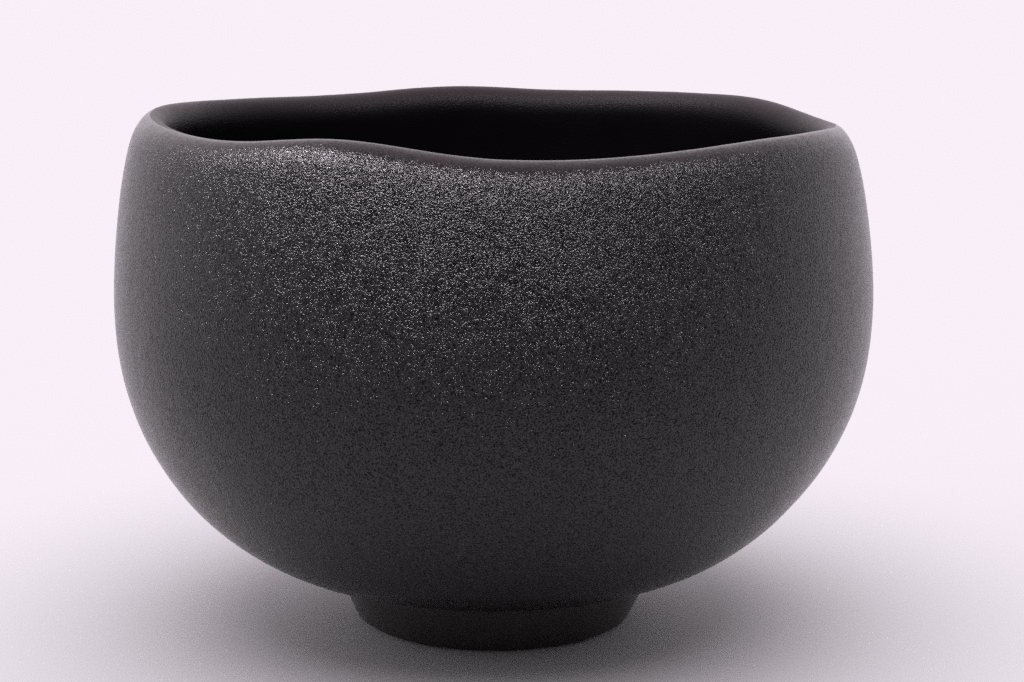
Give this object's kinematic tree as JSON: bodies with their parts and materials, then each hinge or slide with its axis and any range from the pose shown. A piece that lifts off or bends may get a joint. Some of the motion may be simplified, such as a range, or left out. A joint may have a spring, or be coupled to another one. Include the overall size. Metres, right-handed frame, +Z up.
{
  "type": "tea bowl",
  "caption": "Hand-formed black tea bowl for whisking matcha: deep rounded clay body with a softly waving rolled lip, matte pebbled glaze and a low flared foot ring.",
  "frame": {"origin": "middle of the contact ring that the foot stands on, at table height", "axes": "+Z up along the bowl's axis towards its open mouth, -Y towards the bowl's front, +X to the right of someone who faces the front"},
  "size_m": [0.1151, 0.1159, 0.0791],
  "materials": {
    "clay": "unglazed dark fired clay, dry and slightly gritty",
    "matte_black_glaze": "matte charcoal-black glaze with a fine pebbled skin that sparkles where light grazes it",
    "inner_black_glaze": "matte black glaze, a little smoother than outside",
    "gloss_black_glaze": "smooth, semi-gloss blue-black glaze"
  },
  "bodies": {
    "root": {"clay_body": "clay", "foot_ring": "clay", "outer_glaze": "matte_black_glaze", "inner_glaze": "inner_black_glaze", "foot_glaze": "gloss_black_glaze"}
  },
  "joints": []
}
